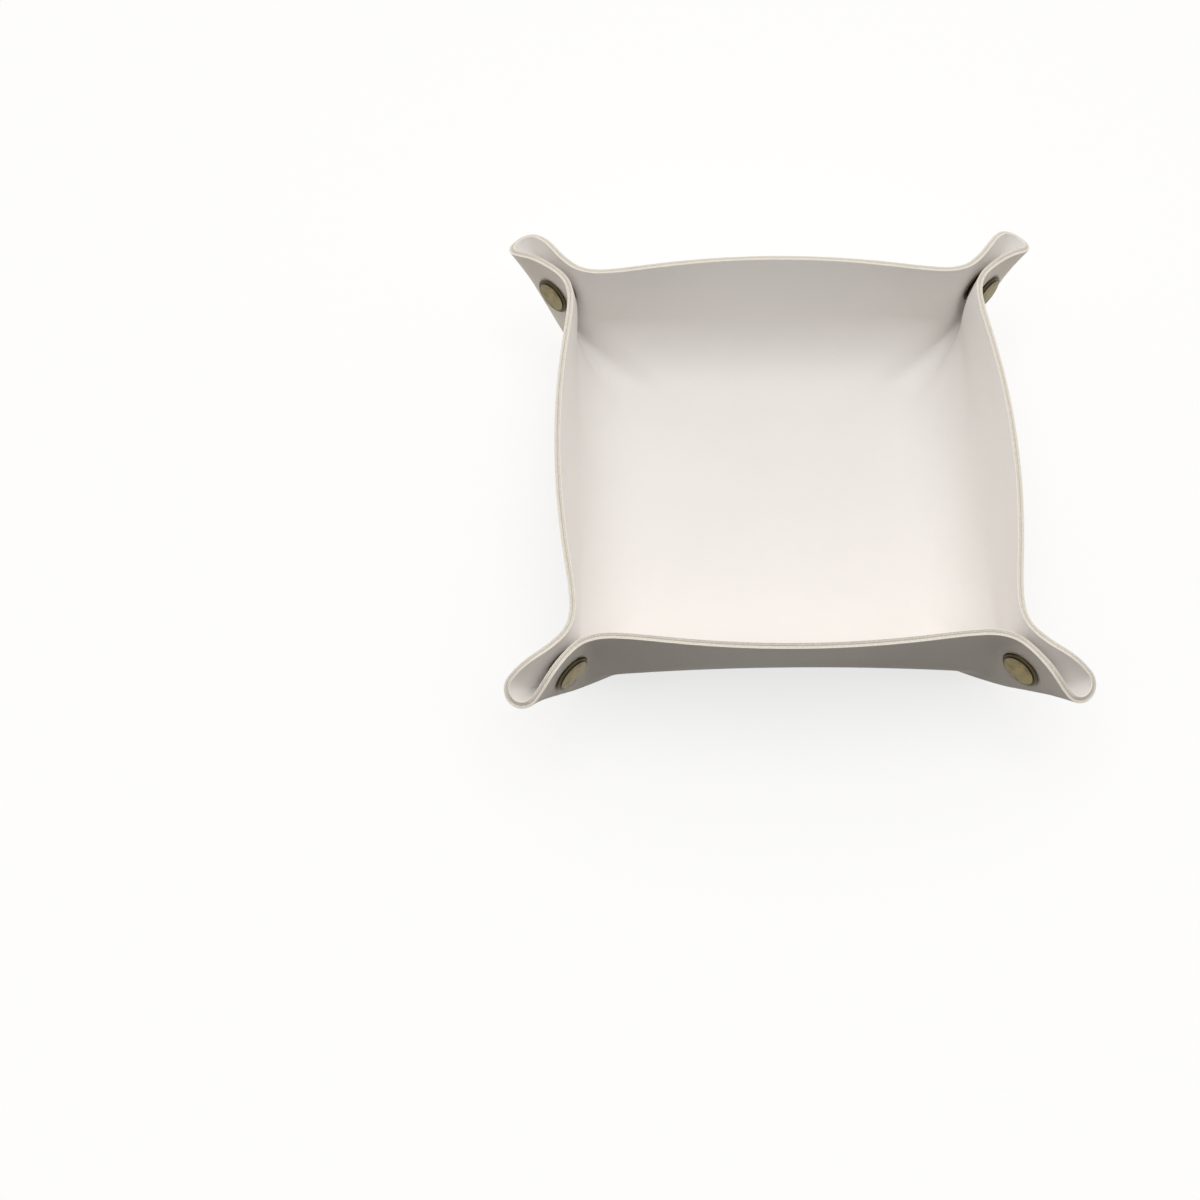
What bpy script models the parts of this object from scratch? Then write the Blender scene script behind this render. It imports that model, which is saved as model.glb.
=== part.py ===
"""Snap-corner jewelry tray: a square two-ply leather sheet whose corners are pinched and held by snaps.

Metres, +Z up. The front wall faces -Y and the middle of the flat base is the origin.
"""

import math

import bmesh
import bpy
import numpy as np
from mathutils import Vector

# The leather sheet when it lies flat
SHEET_SIDE = 0.200
CORNER_RADIUS = 0.0185
PLY = 0.00085
GLUE_LINE = 0.0003

# Middle of a wall, seen in section: flat, then one soft bend up to the wall's lean
BEND_START = 0.0355
BEND_END = 0.0801
WALL_LEAN = math.radians(75.9)

# Each snap's centre on the flat sheet, from the nearest rim and from the next one
SNAP_FROM_RIM = 0.0129
SNAP_FROM_SIDE = 0.0287
# Half the distance between the two walls' middle surfaces where a snap holds them
PINCH = 0.0024

# The concentric copies of the rim, as shares of the sheet's size, between which a corner changes
TIGHTEN_FROM = 0.440
TIGHTEN_TO = 0.751
CLOSE_FROM = 0.565
CLOSE_TO = 0.790
FLARE_FROM = 0.893
SAG_FROM = 0.37
SAG_TO = 0.772

# The ear above a snap opens into a loop
FLARE = 0.0026
FLARE_POWER = 1.5
FLARE_LIP = 0.0002
FLARE_REACH = 0.4

# The pinched strip ends just short of the cap's edge, and sooner at the rim and below the snap
STRIP_SHORT_OF_CAP = 0.0004
FLAP_GROWTH = 0.0050
FLAP_BELOW = 0.0010
FLAP_SPAN = 0.08
STRIP_BLEND = 0.0050
# How softly a wall turns away from its strip, and how far it may bow to reach its middle
TURN_AT_SNAP = 0.0013
TURN_AT_RIM = 0.0044
BOW_LIMITS = (-0.6, 0.9)

# An ear's ridge ends below the middle of the wall
RIDGE_SAG = 0.0078
TROUGH_SHARE = 0.67
TROUGH_WIDTH = 0.0140
TROUGH_GROWTH = 0.0044

# Snap parts: radii, then depths along the snap's own axis
HOLE_R = 0.00155
TUBE_R = 0.0013
TUBE_BORE_R = 0.0010
LIP_R = 0.0017
BASE_HOLE_R = 0.0015
CAP_R = 0.0065
CAP_HEIGHT = 0.00135
CAP_WALL = 0.00035
CAP_STEP = 0.0012
CAP_RIM_DROP = 0.0006
CAP_SHOULDER = 0.0004
CAP_EDGE = 0.00045
CAP_HOLLOW = 0.0006
EDGE_ROUND = 0.0002
FLANGE_R = 0.0061
FLANGE_THICK = 0.0005
STUD_INSET = 0.0003
BASE = 0.00045
BOSS_R = 0.0042
BOSS_ROUND = 0.0003
SOCKET_BORE_R = 0.0026
SPRING_GROOVE_R = 0.0033
SPRING_R = 0.00242
SPRING_WIRE_R = 0.00017
SPRING_GAP = math.radians(40)
GROOVE_BELOW = 0.00005
GROOVE_ABOVE = 0.00015
HEAD_NECK_R = 0.0021
HEAD_R = 0.00245
HEAD_BORE_R = 0.00185
HEAD_WALL = 0.00027
HEAD_EDGE = 0.0001
HEAD_ROUND = 0.0004
SEAT = 0.0002
SOCKET_MOUTH = -0.00045
STUD_TIP = 0.00037
LIP_CLEAR = 0.00007
LIP_THICK = 0.00015

# Mesh density
RINGS = (0.31, 0.42, 0.52, 0.60, 0.67, 0.73, 0.79, 0.884, 0.936, 1.0)
EAR_STEPS = 4
STRIP_STEPS = 2
TURN_STEPS = 3
WALL_STEPS = 2
TURN_SPAN = 0.014
TURN_CROWDING = 1.2
CROWD_FROM = 0.45
STRIP_LEAST = 0.0045
SAMPLES = 240
NORMAL_STEP = 0.004
CAP_SEGMENTS = 18
PART_SEGMENTS = 12
HOLE_SEGMENTS = 8

HALF = SHEET_SIDE / 2
FLAP_AT_SNAP = HALF - SNAP_FROM_SIDE - CAP_R + STRIP_SHORT_OF_CAP
EIGHTH = EAR_STEPS + STRIP_STEPS + TURN_STEPS + WALL_STEPS
SHEET_THICK = 2 * PLY + GLUE_LINE
CORNERS = {
    "front_left": (-1, -1),
    "front_right": (1, -1),
    "back_left": (-1, 1),
    "back_right": (1, 1),
}


def clear_scene():
    for obj in list(bpy.data.objects):
        bpy.data.objects.remove(obj, do_unlink=True)


def ramp(value, low=0.0, high=1.0):
    """0 below low, 1 above high, with a soft start and end."""
    t = np.clip((value - low) / (high - low), 0.0, 1.0)
    return t * t * (3 - 2 * t)


def running_sum(values, along):
    """The integral of the values from the first point to each point."""
    steps = (values[1:] + values[:-1]) / 2 * np.diff(along)
    return np.concatenate([[0.0], np.cumsum(steps)])


def wall_section(flat):
    """Reach and height of the wall's middle, at a flat distance from the tray's centre."""
    along = np.linspace(0.0, HALF, 2 * SAMPLES)
    slope = WALL_LEAN * ramp(along, BEND_START, BEND_END)
    reach = running_sum(np.cos(slope), along)
    height = running_sum(np.sin(slope), along)
    return np.interp(flat, along, reach), np.interp(flat, along, height)


def ring_shape(size):
    """One eighth of a ring, a copy of the rim scaled by size, from an ear's ridge to a wall's middle.

    Gives the distances along the ring from the ridge, the outward positions along the corner's
    diagonal, the distances from the diagonal's upright plane, the heights, and where the ear's
    curve and the pinched strip end.
    """
    corner = CORNER_RADIUS * size
    length = HALF * size - corner + corner * math.pi / 4
    reach, height = wall_section(HALF * size)
    tight = ramp(size, TIGHTEN_FROM, TIGHTEN_TO)
    flare = max(0.0, (size - FLARE_FROM) / (1 - FLARE_FROM))
    radius = corner * (1 - tight) + PINCH * tight + FLARE * flare**FLARE_POWER
    least = math.pi / 4 * (1 - float(ramp(size, CLOSE_FROM, CLOSE_TO)))

    ear_end = radius * (math.pi / 2 - least)
    snap_size = 1 - SNAP_FROM_RIM / HALF
    below = max(0.0, snap_size - size) / FLAP_SPAN
    flap = FLAP_AT_SNAP + FLAP_GROWTH * flare + FLAP_BELOW * below**2
    over = length - flap - ear_end
    strip_end = ear_end + (over + math.hypot(over, STRIP_BLEND)) / 2
    ear_half = radius * math.sin(ear_end / radius)
    strip_half = ear_half + math.sin(least) * (strip_end - ear_end)
    if flare > 0:
        strip_half = PINCH + FLARE_LIP * flare**2
    turn = TURN_AT_SNAP + (TURN_AT_RIM - TURN_AT_SNAP) * flare

    on_wall = np.linspace(0.0, length - strip_end, SAMPLES)
    rise = 1 - (1 + on_wall / turn) * np.exp(-on_wall / turn)

    def wall_line(bow):
        heading = least + (math.pi / 4 + bow * (1 - on_wall / on_wall[-1]) - least) * rise
        return running_sum(np.sin(heading), on_wall)

    # The wall bows just enough for the ring to meet the middle of the wall.
    low, high = BOW_LIMITS
    for _ in range(40):
        bow = (low + high) / 2
        if strip_half + wall_line(bow)[-1] < reach / math.sqrt(2):
            low = bow
        else:
            high = bow

    on_ear = np.linspace(0.0, ear_end, SAMPLES // 4)[:-1]
    on_strip = np.linspace(0.0, 1.0, SAMPLES // 4)[:-1]
    strip = ramp(on_strip, 0.0, FLARE_REACH + (1 - FLARE_REACH) * flare) if flare > 0 else on_strip
    along = np.concatenate([on_ear, ear_end + (strip_end - ear_end) * on_strip, strip_end + on_wall])
    apart = np.concatenate(
        [
            radius * np.sin(on_ear / radius),
            ear_half + (strip_half - ear_half) * strip,
            strip_half + wall_line(bow),
        ]
    )

    sag = RIDGE_SAG * ramp(size, SAG_FROM, SAG_TO)
    trough = 1 - ramp(along, 0.0, TROUGH_WIDTH + TROUGH_GROWTH * flare)
    fall = (1 - along / length) ** 2
    heights = height - sag * (TROUGH_SHARE * trough + (1 - TROUGH_SHARE) * fall)

    # Every step along the ring keeps the sheet's own length.
    across = np.gradient(apart, along) ** 2 + np.gradient(heights, along) ** 2
    out = running_sum(np.sqrt(np.clip(1 - across, 0.0, None)), along)
    outward = reach / math.sqrt(2) + out[-1] - out
    return along, outward, apart, heights, ear_end, strip_end


def ring_point(ring, distance):
    """Point of the ring's eighth beside the +X wall, at a distance from the ridge."""
    along, outward, apart, heights, _, _ = ring
    out = np.interp(distance, along, outward)
    off = np.interp(distance, along, apart)
    high = np.interp(distance, along, heights)
    return np.array([(out + off) / math.sqrt(2), (out - off) / math.sqrt(2), high])


def station_shares(size, ring):
    """Where the mesh has its points, as shares of the eighth: crowded round the ear and the pinch."""
    along, _, _, _, ear_end, strip_end = ring
    length = along[-1]
    strip_end = max(strip_end, ear_end + STRIP_LEAST)
    turn_end = strip_end + TURN_SPAN
    marks = [ear_end * i / EAR_STEPS for i in range(EAR_STEPS)]
    marks += [ear_end + (strip_end - ear_end) * i / STRIP_STEPS for i in range(STRIP_STEPS)]
    marks += [strip_end + TURN_SPAN * (i / TURN_STEPS) ** TURN_CROWDING for i in range(TURN_STEPS)]
    marks += [turn_end + (length - turn_end) * i / WALL_STEPS for i in range(WALL_STEPS + 1)]
    even = np.linspace(0.0, 1.0, EIGHTH + 1)
    near = ramp(size, CROWD_FROM, CLOSE_TO)
    return even * (1 - near) + np.array(marks) / length * near


def sheet_eighth(size):
    """Points and outward normals of one ring's eighth, from the ridge to the middle of the +X wall."""
    ring = ring_shape(size)
    inner, outer = ring_shape(size - NORMAL_STEP), ring_shape(min(size + NORMAL_STEP, 1.0))
    points, normals = [], []
    for share in station_shares(size, ring):
        here = ring_point(ring, share * ring[0][-1])
        low, high = max(share - NORMAL_STEP, 0.0), min(share + NORMAL_STEP, 1.0)
        around = ring_point(ring, low * ring[0][-1]) - ring_point(ring, high * ring[0][-1])
        away = ring_point(outer, share * outer[0][-1]) - ring_point(inner, share * inner[0][-1])
        normal = np.cross(around, away)
        if share == 0.0:
            normal -= np.array([normal[0] - normal[1], normal[1] - normal[0], 0.0]) / 2
        if share == 1.0:
            normal[1] = 0.0
        points.append(here)
        normals.append(normal / np.linalg.norm(normal))
    return points, normals


def ring_all_round(size, offset):
    """The whole ring as a loop of points, moved by offset along the outward normals."""
    points, normals = sheet_eighth(size)
    moved = [p + n * offset for p, n in zip(points, normals)]
    side = moved[::-1]
    turned = [np.array([p[1], p[0], p[2]]) for p in moved[1:-1]]
    quarter = side + turned
    loop = []
    for turn in range(4):
        c, s = round(math.cos(turn * math.pi / 2)), round(math.sin(turn * math.pi / 2))
        loop += [(c * p[0] - s * p[1], s * p[0] + c * p[1], p[2]) for p in quarter]
    return loop


def add_object(name, bm, material):
    mesh = bpy.data.meshes.new(name)
    bmesh.ops.recalc_face_normals(bm, faces=bm.faces)
    bm.to_mesh(mesh)
    bm.free()
    mesh.materials.append(material)
    obj = bpy.data.objects.new(name, mesh)
    bpy.context.scene.collection.objects.link(obj)
    return obj


def smooth(obj, degrees):
    obj.data.shade_smooth()
    obj.data.set_sharp_from_angle(angle=math.radians(degrees))


def make_material(name, colour, metallic, roughness):
    """A plain Principled material; the colour is given as screen values from 0 to 255."""
    material = bpy.data.materials.new(name)
    material.use_nodes = True
    shader = material.node_tree.nodes["Principled BSDF"]
    linear = [((c / 255 + 0.055) / 1.055) ** 2.4 for c in colour]
    shader.inputs["Base Color"].default_value = (*linear, 1.0)
    shader.inputs["Metallic"].default_value = metallic
    shader.inputs["Roughness"].default_value = roughness
    material.diffuse_color = (*linear, 1.0)
    return material


def leather_ply(name, low, high, material):
    """A closed body between two offsets from the sheet's middle surface, outward being positive."""
    bm = bmesh.new()
    faces_out, faces_in = [], []
    for offset, kept in ((high, faces_out), (low, faces_in)):
        for size in RINGS:
            kept.append([bm.verts.new(p) for p in ring_all_round(size, offset)])
        middle = bm.verts.new((0.0, 0.0, -offset))
        count = len(kept[0])
        for i in range(count):
            bm.faces.new((middle, kept[0][i], kept[0][(i + 1) % count]))
        for a, b in zip(kept, kept[1:]):
            for i in range(count):
                j = (i + 1) % count
                # The two halves of every corner are split alike, as mirror images.
                if i % (2 * EIGHTH) < EIGHTH:
                    bm.faces.new((a[i], b[i], a[j]))
                    bm.faces.new((b[i], b[j], a[j]))
                else:
                    bm.faces.new((a[i], b[i], b[j]))
                    bm.faces.new((a[i], b[j], a[j]))
    a, b = faces_in[-1], faces_out[-1]
    count = len(a)
    for i in range(count):
        j = (i + 1) % count
        bm.faces.new((a[i], b[i], b[j], a[j]))
    obj = add_object(name, bm, material)
    obj.location.z = SHEET_THICK / 2
    smooth(obj, 50)
    return obj


def turned_mesh(name, outline, segments, material):
    """A body of revolution round Z from a closed outline of radius and height pairs."""
    bm = bmesh.new()
    verts = [bm.verts.new((r, 0.0, h)) for r, h in outline]
    edges = [bm.edges.new((verts[i], verts[(i + 1) % len(verts)])) for i in range(len(verts))]
    # An edge that lies on the axis would sweep no face.
    for edge in [e for e in edges if all(v.co.x < 1e-9 for v in e.verts)]:
        edges.remove(edge)
        bm.edges.remove(edge)
    bmesh.ops.spin(
        bm,
        geom=edges,
        cent=(0, 0, 0),
        axis=(0, 0, 1),
        angle=math.tau,
        steps=segments,
        use_merge=True,
    )
    bmesh.ops.remove_doubles(bm, verts=bm.verts, dist=1e-7)
    bmesh.ops.recalc_face_normals(bm, faces=bm.faces)
    mesh = bpy.data.meshes.new(name)
    bm.to_mesh(mesh)
    bm.free()
    mesh.materials.append(material)
    mesh.shade_smooth()
    mesh.set_sharp_from_angle(angle=math.radians(35))
    return mesh


def cap_mesh(material):
    """Cap with its hollow rivet tube; heights count from the plane midway between the two walls."""
    face = PINCH + SHEET_THICK / 2 + SEAT
    tip = PINCH - SHEET_THICK / 2 - SEAT - BASE - LIP_CLEAR
    top = face + CAP_HEIGHT
    disc = CAP_R - CAP_STEP
    outline = [
        (0.0, top),
        (disc, top - EDGE_ROUND),
        (disc + EDGE_ROUND, top - CAP_RIM_DROP),
        (CAP_R - CAP_SHOULDER, top - CAP_RIM_DROP),
        (CAP_R, face + CAP_EDGE),
        (CAP_R - CAP_SHOULDER, face),
        (disc, face),
        (disc - CAP_SHOULDER, face + CAP_HOLLOW),
        (TUBE_R, face + CAP_HOLLOW),
        (TUBE_R, tip),
        (LIP_R, tip),
        (LIP_R, tip - LIP_THICK),
        (TUBE_BORE_R, tip - LIP_THICK),
        (TUBE_BORE_R, top - CAP_WALL),
        (0.0, top - CAP_WALL),
    ]
    return turned_mesh("snap_cap", outline, CAP_SEGMENTS, material)


def socket_mesh(material):
    """Ring-shaped female half with a rolled flange and an inner groove for its spring."""
    seat = PINCH - SHEET_THICK / 2 - SEAT
    groove_low = -SPRING_WIRE_R - GROOVE_BELOW
    groove_high = SPRING_WIRE_R + GROOVE_ABOVE
    outline = [
        (BASE_HOLE_R, seat),
        (FLANGE_R - EDGE_ROUND, seat),
        (FLANGE_R, seat - EDGE_ROUND),
        (FLANGE_R - EDGE_ROUND, seat - FLANGE_THICK),
        (BOSS_R + BOSS_ROUND, seat - FLANGE_THICK),
        (BOSS_R, SOCKET_MOUTH + BOSS_ROUND),
        (BOSS_R - BOSS_ROUND, SOCKET_MOUTH),
        (SOCKET_BORE_R + BOSS_ROUND, SOCKET_MOUTH),
        (SOCKET_BORE_R, groove_low),
        (SPRING_GROOVE_R, groove_low),
        (SPRING_GROOVE_R, groove_high),
        (SOCKET_BORE_R, groove_high),
        (SOCKET_BORE_R, seat - BASE),
        (BASE_HOLE_R, seat - BASE),
    ]
    return turned_mesh("snap_socket", outline, PART_SEGMENTS, material)


def stud_mesh(material):
    """Male half: a flange and a hollow head with a narrow neck, below the midway plane."""
    seat = -(PINCH - SHEET_THICK / 2 - SEAT)
    flange = FLANGE_R - STUD_INSET
    outline = [
        (BASE_HOLE_R, seat),
        (flange - EDGE_ROUND, seat),
        (flange, seat + EDGE_ROUND),
        (flange - EDGE_ROUND, seat + BASE),
        (HEAD_NECK_R + EDGE_ROUND, seat + BASE),
        (HEAD_NECK_R, seat + BASE + EDGE_ROUND),
        (HEAD_NECK_R, SPRING_WIRE_R - HEAD_EDGE),
        (HEAD_R, SPRING_WIRE_R + GROOVE_BELOW),
        (HEAD_R - HEAD_EDGE, STUD_TIP - HEAD_EDGE),
        (HEAD_R - HEAD_ROUND, STUD_TIP),
        (0.0, STUD_TIP),
        (0.0, STUD_TIP - HEAD_WALL),
        (HEAD_BORE_R, STUD_TIP - HEAD_WALL),
        (HEAD_BORE_R, seat + BASE),
        (BASE_HOLE_R, seat + BASE),
    ]
    return turned_mesh("snap_stud", outline, PART_SEGMENTS, material)


def spring_mesh(material):
    """Split wire ring that grips the stud's neck, lying round the snap's axis."""
    bm = bmesh.new()
    start = SPRING_GAP / 2
    sides = 4
    for i in range(sides):
        turn = math.tau * i / sides
        r = SPRING_R + SPRING_WIRE_R * math.cos(turn)
        spot = Vector((r * math.cos(start), r * math.sin(start), SPRING_WIRE_R * math.sin(turn)))
        bm.verts.new(spot)
    section = bm.faces.new(bm.verts)
    swept = bmesh.ops.spin(
        bm,
        geom=[section],
        cent=(0, 0, 0),
        axis=(0, 0, 1),
        angle=math.tau - SPRING_GAP,
        steps=PART_SEGMENTS,
        use_duplicate=False,
    )
    if not swept["geom_last"]:
        raise RuntimeError("the spring was not swept")
    bmesh.ops.recalc_face_normals(bm, faces=bm.faces)
    mesh = bpy.data.meshes.new("snap_spring")
    bm.to_mesh(mesh)
    bm.free()
    mesh.materials.append(material)
    mesh.shade_smooth()
    mesh.set_sharp_from_angle(angle=math.radians(60))
    return mesh


def snap_place():
    """Outward position along the diagonal, and height, of a snap's centre, found on the flat sheet."""
    u, v = HALF - SNAP_FROM_RIM, HALF - SNAP_FROM_SIDE
    low, high = u / HALF, 1.0
    for _ in range(50):
        size = (low + high) / 2
        corner = CORNER_RADIUS * size
        inner = HALF * size - corner
        gone = math.hypot(u - inner, v - inner) > corner if v > inner else u > HALF * size
        if gone:
            low = size
        else:
            high = size
    corner = CORNER_RADIUS * size
    inner = HALF * size - corner
    if v > inner:
        distance = corner * (math.pi / 4 - math.atan2(v - inner, u - inner))
    else:
        distance = inner - v + corner * math.pi / 4
    x, y, z = ring_point(ring_shape(size), distance)
    return (x + y) / math.sqrt(2), z + SHEET_THICK / 2


def place(name, mesh, corner, away):
    """Put a snap piece on its corner's axis; away is 1 on the socket's wall and -1 on the stud's."""
    out, height = snap_place()
    sx, sy = CORNERS[corner]
    obj = bpy.data.objects.new(name, mesh)
    bpy.context.scene.collection.objects.link(obj)
    obj.location = (sx * out / math.sqrt(2), sy * out / math.sqrt(2), height)
    # The socket sits on the front or back wall, so its axis leans to that wall's outer side.
    direction = Vector((-sx, sy)) * away
    obj.rotation_euler = (math.pi / 2, 0.0, math.atan2(direction.x, -direction.y))
    return obj


def drill(ply):
    """Cut the rivet holes of all four corners with one guide body."""
    cutter = bpy.data.objects.get("rivet_hole_guide")
    if cutter is None:
        out, height = snap_place()
        bm = bmesh.new()
        for sx, sy in CORNERS.values():
            direction = Vector((-sx, sy, 0.0)).normalized()
            matrix = direction.to_track_quat("Z", "Y").to_matrix().to_4x4()
            matrix.translation = (sx * out / math.sqrt(2), sy * out / math.sqrt(2), height)
            bmesh.ops.create_cone(
                bm,
                cap_ends=True,
                segments=HOLE_SEGMENTS,
                radius1=HOLE_R,
                radius2=HOLE_R,
                depth=2 * (PINCH + 2 * SHEET_THICK),
                matrix=matrix,
            )
        mesh = bpy.data.meshes.new("rivet_hole_guide")
        bm.to_mesh(mesh)
        bm.free()
        cutter = bpy.data.objects.new("rivet_hole_guide", mesh)
        bpy.context.scene.collection.objects.link(cutter)
        cutter.hide_render = True
        cutter.display_type = "WIRE"
    holes = ply.modifiers.new("rivet_holes", "BOOLEAN")
    holes.operation = "DIFFERENCE"
    holes.solver = "EXACT"
    holes.object = cutter


def main():
    clear_scene()
    half_line = GLUE_LINE / 2
    outer = make_material("outer_leather", (226, 223, 216), 0.0, 0.62)
    inner = make_material("inner_leather", (238, 234, 229), 0.0, 0.55)
    drill(leather_ply("outer_leather", half_line, half_line + PLY, outer))
    drill(leather_ply("inner_leather", -half_line - PLY, -half_line, inner))

    cap = cap_mesh(make_material("cap_brass", (132, 119, 82), 1.0, 0.35))
    socket = socket_mesh(make_material("socket_brass", (120, 108, 76), 1.0, 0.38))
    stud = stud_mesh(make_material("stud_brass", (126, 113, 80), 1.0, 0.38))
    spring = spring_mesh(make_material("spring_steel", (150, 148, 142), 1.0, 0.3))
    for corner in CORNERS:
        place(corner + "_socket_cap", cap, corner, 1)
        place(corner + "_socket", socket, corner, 1)
        place(corner + "_socket_spring", spring, corner, 1)
        place(corner + "_stud", stud, corner, 1)
        place(corner + "_stud_cap", cap, corner, -1)


main()
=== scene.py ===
"""Looks of the snap-corner jewelry tray: two leather plies, folded up and held by brass snaps.

Metres, +Z up. The front wall faces -Y and the middle of the flat base is the origin.
"""

import math

import bmesh
import bpy
import numpy as np
from bpy.props import FloatProperty, FloatVectorProperty, IntProperty, PointerProperty
from mathutils import Matrix, Vector


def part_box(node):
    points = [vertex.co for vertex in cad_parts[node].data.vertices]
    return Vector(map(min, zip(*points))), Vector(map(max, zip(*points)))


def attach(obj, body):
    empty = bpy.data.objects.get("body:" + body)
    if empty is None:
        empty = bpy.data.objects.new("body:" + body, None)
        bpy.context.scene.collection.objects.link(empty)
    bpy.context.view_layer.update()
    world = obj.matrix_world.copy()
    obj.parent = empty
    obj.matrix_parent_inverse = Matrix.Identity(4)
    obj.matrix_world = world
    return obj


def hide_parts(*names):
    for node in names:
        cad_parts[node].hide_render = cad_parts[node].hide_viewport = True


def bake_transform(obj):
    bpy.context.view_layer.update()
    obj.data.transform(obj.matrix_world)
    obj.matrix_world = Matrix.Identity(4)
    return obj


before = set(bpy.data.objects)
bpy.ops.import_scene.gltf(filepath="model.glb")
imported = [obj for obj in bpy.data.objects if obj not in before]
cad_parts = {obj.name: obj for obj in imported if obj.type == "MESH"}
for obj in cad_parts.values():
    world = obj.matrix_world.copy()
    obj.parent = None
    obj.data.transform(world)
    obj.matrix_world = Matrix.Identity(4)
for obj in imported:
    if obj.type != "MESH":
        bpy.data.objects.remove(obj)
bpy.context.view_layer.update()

bl_info = {
    "name": "Snap-corner jewelry tray",
    "version": (1, 0, 0),
    "blender": (4, 5, 0),
    "location": "3D View > Sidebar > Tray",
    "description": "Dresses the folded leather tray and its brass snaps, and sets the stage",
    "category": "Add Mesh",
}

MM = 0.001
SAME_POINT = 1e-7  # vertices nearer than this are joined
ON_AXIS = 1e-9  # a radius below this is on the axis
CORNERS = {
    "front_left": (-1, -1),
    "front_right": (1, -1),
    "back_left": (-1, 1),
    "back_right": (1, 1),
}


def linear(hex_colour):
    """Scene-linear red, green and blue of an sRGB colour such as #E2DFD8."""
    parts = [int(hex_colour[i : i + 2], 16) / 255 for i in (1, 3, 5)]
    return tuple(p / 12.92 if p <= 0.04045 else ((p + 0.055) / 1.055) ** 2.4 for p in parts)


def length(name, description, default):
    """A property for a length in metres."""
    return FloatProperty(
        name=name, description=description, default=default, min=0.0, unit="LENGTH", precision=5
    )


def number(name, description, default):
    """A property for a share, a strength or another plain number."""
    return FloatProperty(name=name, description=description, default=default, min=0.0, precision=4)


def angle(name, description, degrees):
    """A property for an angle, whose default is given in degrees."""
    return FloatProperty(
        name=name, description=description, default=math.radians(degrees), subtype="ANGLE"
    )


def colour(name, description, hex_colour):
    """A property for a colour, whose default is given as sRGB."""
    return FloatVectorProperty(
        name=name,
        description=description,
        default=linear(hex_colour),
        subtype="COLOR",
        min=0.0,
        max=1.0,
    )


class TraySheetSizes(bpy.types.PropertyGroup):
    """Sizes of the folded leather sheet."""

    side: length("Sheet side", "Side of the square sheet when it lies flat", 0.200)
    corner_radius: length("Corner radius", "Radius of the flat sheet's corners", 0.0185)
    thickness: length("Thickness", "Thickness of both plies together", 0.002)
    film: length("Film", "Thickness of the coloured film on each ply's grain side", 0.00022)
    bend_start: length("Bend start", "Flat distance from the centre where the base bends up", 0.0355)
    bend_end: length("Bend end", "Flat distance from the centre where the bend ends", 0.0801)
    wall_lean: angle("Wall lean", "Slope of the wall above its bend", 75.9)
    snap_from_rim: length("Snap from rim", "From a snap's centre to the nearest rim", 0.0129)
    flap: length("Flap", "Flat distance from a wall's middle to its pinched strip", 0.0652)
    pinch: length("Pinch", "From the plane between two pinched walls to the middle of each", 0.0024)
    ear_opening: length("Ear opening", "How much wider than the pinch an ear's rim opens", 0.0026)
    ridge_sag: length("Ridge sag", "How far an ear's ridge ends below the wall's middle", 0.0078)


class TraySnapSizes(bpy.types.PropertyGroup):
    """Sizes of the four ring-spring snaps."""

    cap_radius: length("Cap radius", "Outer radius of a cap", 0.0065)
    cap_height: length("Cap height", "How far a cap stands off the leather", 0.00135)
    flange_radius: length("Flange radius", "Outer radius of a socket's rolled flange", 0.0061)
    seat: length("Seat", "Gap between a metal piece and the leather that it sits on", 0.0002)
    wire: length("Spring wire", "Radius of the spring's wire", 0.00017)
    segments: IntProperty(name="Segments", description="Sides of a turned piece", default=72, min=24)


class TrayColours(bpy.types.PropertyGroup):
    """Colours of the leather, its cut edge and the metal."""

    # The same off-white leather as the inner film; its darker, warmer tone is painted shade for the outer
    # walls, which stand in shade.
    outer_grain: colour("Outer grain", "Film on the outside of the tray", "#E0DBD3")
    inner_grain: colour("Inner grain", "Film on the inside of the tray", "#EFECE9")
    film_edge: colour("Film edge", "Cut edge of the film", "#F4EFE4")
    split_core: colour("Split core", "Fibres between the film and the glue", "#E8E3D9")
    glue: colour("Glue", "Glue line and the fibres that it soaked", "#D6CEC1")
    brass: colour("Brass", "Rubbed antique brass", "#8B7D55")
    hidden_brass: colour("Hidden brass", "Antique brass that nothing has rubbed", "#857A62")
    # On a cap this colour is also painted shade in the step round the disc; the cap's rim keeps a share
    # of it.
    patina: colour("Patina", "Dark patina on a cap's rim and in its steps", "#2F281C")
    steel: colour("Steel", "Drawn spring wire", "#A8A49B")


class TrayStage(bpy.types.PropertyGroup):
    """Camera, lamp, room light and floor."""

    azimuth: angle("Azimuth", "Camera's turn round the tray from the front", -1.37)
    elevation: angle("Elevation", "Camera's height above the horizon", 62.22)
    roll: angle("Roll", "Camera's roll", 0.70)
    distance: length("Distance", "From the camera to its target", 0.57534)
    target: FloatVectorProperty(
        name="Target",
        description="Point at the middle of the picture",
        default=(-0.05885, -0.04344, 0.021),
        subtype="TRANSLATION",
        unit="LENGTH",
    )
    lens: number("Lens", "Focal length in millimetres on a 36 mm wide sensor", 55.02)
    lamp_power: number("Lamp power", "Power of the overhead lamp in watts", 6.8)
    lamp_width: length("Lamp width", "Width of the round overhead lamp", 1.2)
    lamp_height: length("Lamp height", "Height of the overhead lamp", 1.3)
    room_light: number("Room light", "Strength of the light from the sides and the back", 0.83)
    room_tint: colour("Room tint", "Colour of the light from the sides and the back", "#FFFBF6")
    shaded_floor: colour("Shaded floor", "The floor's colour for light, before the tray", "#8B8782")
    lit_floor: colour("Lit floor", "The floor's colour for light, behind the tray", "#EFEBE6")
    floor_glow: number("Floor glow", "Share of the visible floor that is plain white", 0.75)


def ramp(value, low=0.0, high=1.0):
    """0 below low, 1 above high, with a soft start and end."""
    t = np.clip((value - low) / (high - low), 0.0, 1.0)
    return t * t * (3 - 2 * t)


def running_sum(values, along):
    """The integral of the values from the first point to each point."""
    steps = (values[1:] + values[:-1]) / 2 * np.diff(along)
    return np.concatenate([[0.0], np.cumsum(steps)])


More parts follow.
